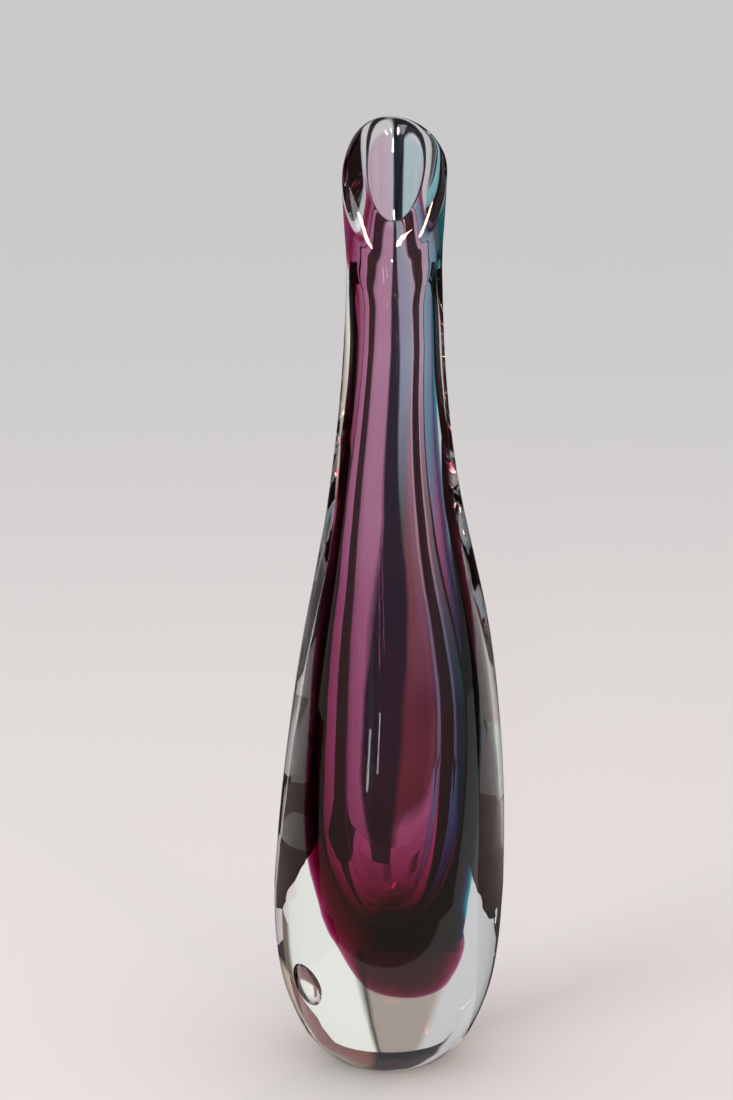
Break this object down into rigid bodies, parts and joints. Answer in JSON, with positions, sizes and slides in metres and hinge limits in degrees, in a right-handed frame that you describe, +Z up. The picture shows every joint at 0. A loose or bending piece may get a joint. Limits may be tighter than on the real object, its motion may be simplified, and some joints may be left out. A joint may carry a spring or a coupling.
{
  "type": "art glass vase",
  "caption": "Tall teardrop vase of cased glass with a thick clear foot, a long neck and a slanted mouth, for a single stem or a small spray.",
  "frame": {"origin": "centre of the flat foot, on the surface that the vase stands on", "axes": "+Z up along the vase, -Y towards the low side of the slanted mouth, which is the side the picture shows, +X towards the teal side"},
  "size_m": [0.086, 0.086, 0.3502],
  "materials": {
    "clear_glass": "fire-polished clear glass",
    "amethyst_glass": "transparent amethyst glass, fused into the casing",
    "teal_glass": "transparent teal glass, fused into the casing"
  },
  "bodies": {
    "root": {"clear_casing": "clear_glass", "amethyst_cup": "amethyst_glass", "teal_band": "teal_glass"}
  },
  "joints": []
}
